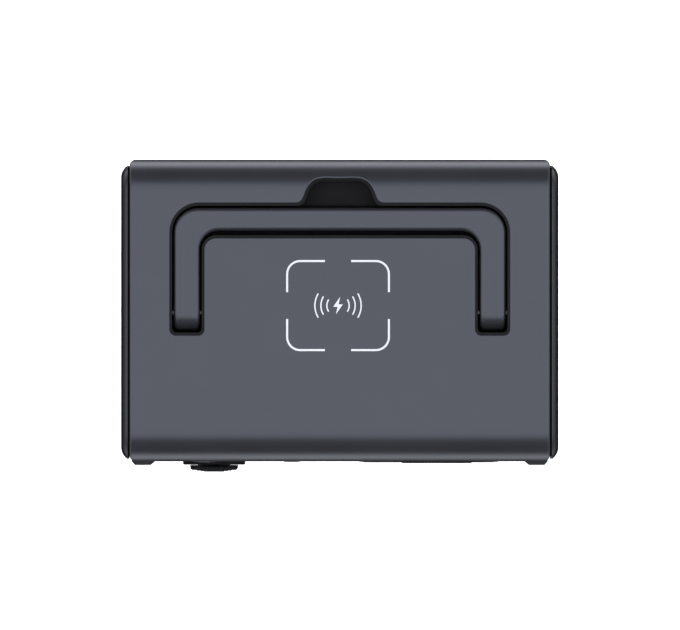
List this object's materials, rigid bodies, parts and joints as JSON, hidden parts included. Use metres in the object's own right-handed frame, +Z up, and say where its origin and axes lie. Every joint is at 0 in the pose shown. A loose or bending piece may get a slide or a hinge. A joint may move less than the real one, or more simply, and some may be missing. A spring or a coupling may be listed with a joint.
{
  "type": "portable power station",
  "caption": "Boxy portable battery power station with a flush folding U handle, wireless charging pad on top, front outlets and ports, capped car socket and vented side covers",
  "frame": {"origin": "middle of the bounding box's bottom, on the plane that the feet stand on", "axes": "+X to the right seen from the front, +Y to the back, +Z up"},
  "size_m": [0.255, 0.182, 0.183],
  "materials": {
    "case_grey": "fine-textured dark slate grey ABS",
    "cover_black": "fine-textured near-black ABS",
    "black_plastic": "satin black",
    "white_plastic": "matt",
    "rubber": "matt",
    "steel": "zinc plated",
    "nickel": "nickel plated",
    "brass": "plain",
    "clear": "smoked acrylic",
    "diffuser": "frosted acrylic",
    "board": "glass-fibre circuit board",
    "cell_sleeve": "shrink sleeve",
    "aluminium": "extruded",
    "copper": "enamelled copper",
    "ferrite": "sintered",
    "orange_plastic": "satin"
  },
  "bodies": {
    "body": {"top_shell": "case_grey", "bottom_shell": "case_grey", "left_cover": "cover_black", "right_cover": "cover_black", "handle_tray": "black_plastic", "handle_pin_left": "steel", "handle_pin_right": "steel", "front_panel": "black_plastic", "foot_1": "rubber", "foot_2": "rubber", "foot_3": "rubber", "foot_4": "rubber", "case_screws": "steel", "display_window": "clear", "display_module": "black_plastic", "control_board": "board", "lamp_lens": "diffuser", "lamp_board": "board", "ac_outlet_left": "black_plastic", "ac_outlet_right": "black_plastic", "usb_a_port_upper": "nickel", "usb_a_port_lower": "nickel", "usb_c_port": "nickel", "dc_jack_left": "black_plastic", "dc_jack_right": "black_plastic", "port_board": "board", "car_socket": "black_plastic", "cap_hinge_pin": "steel", "ac_inlet": "black_plastic", "inlet_pins": "nickel", "dc_input_jack": "black_plastic", "breaker_body": "black_plastic", "fan_frame": "black_plastic", "battery_cells": "cell_sleeve", "cell_holder_front": "white_plastic", "cell_holder_rear": "white_plastic", "cell_links": "nickel", "bms_board": "board", "inner_frame": "steel", "inverter_board": "board", "inverter_heatsink": "aluminium", "transformer": "ferrite", "capacitors": "black_plastic", "charge_board": "board", "ferrite_plate": "ferrite", "charging_coil": "copper", "charging_board": "board", "battery_leads": "orange_plastic", "outlet_leads": "black_plastic", "fan_lead": "black_plastic", "pad_mark": "white_plastic"},
    "handle": {"handle": "case_grey"},
    "cap": {"socket_cap": "black_plastic"},
    "contact": {"socket_contact": "brass"},
    "rotor": {"fan_rotor": "black_plastic"},
    "power_key": {"power_button": "case_grey"},
    "dc_key": {"dc_button": "case_grey"},
    "ac_key": {"ac_button": "case_grey"},
    "lamp_key": {"lamp_button": "case_grey"},
    "reset_key": {"reset_button": "black_plastic"}
  },
  "joints": [
    {"name": "handle_hinge", "type": "hinge", "parent": "body", "child": "handle", "pos_m": [0, 0.0018, 0.172], "axis": [1, 0, 0], "range_deg": [0, 90]},
    {"name": "cap_hinge", "type": "hinge", "parent": "body", "child": "cap", "pos_m": [-0.0732, -0.0889, 0.0794], "axis": [-1, 0, 0], "range_deg": [0, 150]},
    {"name": "contact_slide", "type": "slide", "parent": "body", "child": "contact", "axis": [0, 1, 0], "range_m": [0, 0.0028], "stiffness_N_per_m": 1500, "springref_m": -0.002},
    {"name": "fan_spin", "type": "hinge", "parent": "body", "child": "rotor", "pos_m": [0.1075, 0.003, 0.122], "axis": [1, 0, 0], "continuous": true},
    {"name": "power_press", "type": "slide", "parent": "body", "child": "power_key", "axis": [0, 1, 0], "range_m": [0, 0.0012], "stiffness_N_per_m": 800, "springref_m": -0.001},
    {"name": "dc_press", "type": "slide", "parent": "body", "child": "dc_key", "axis": [0, 1, 0], "range_m": [0, 0.0012], "stiffness_N_per_m": 800, "springref_m": -0.001},
    {"name": "ac_press", "type": "slide", "parent": "body", "child": "ac_key", "axis": [0, 1, 0], "range_m": [0, 0.0012], "stiffness_N_per_m": 800, "springref_m": -0.001},
    {"name": "lamp_press", "type": "slide", "parent": "body", "child": "lamp_key", "axis": [0, 1, 0], "range_m": [0, 0.0012], "stiffness_N_per_m": 800, "springref_m": -0.001},
    {"name": "reset_press", "type": "slide", "parent": "body", "child": "reset_key", "axis": [1, 0, 0], "range_m": [0, 0.0015], "stiffness_N_per_m": 800, "springref_m": -0.001}
  ]
}
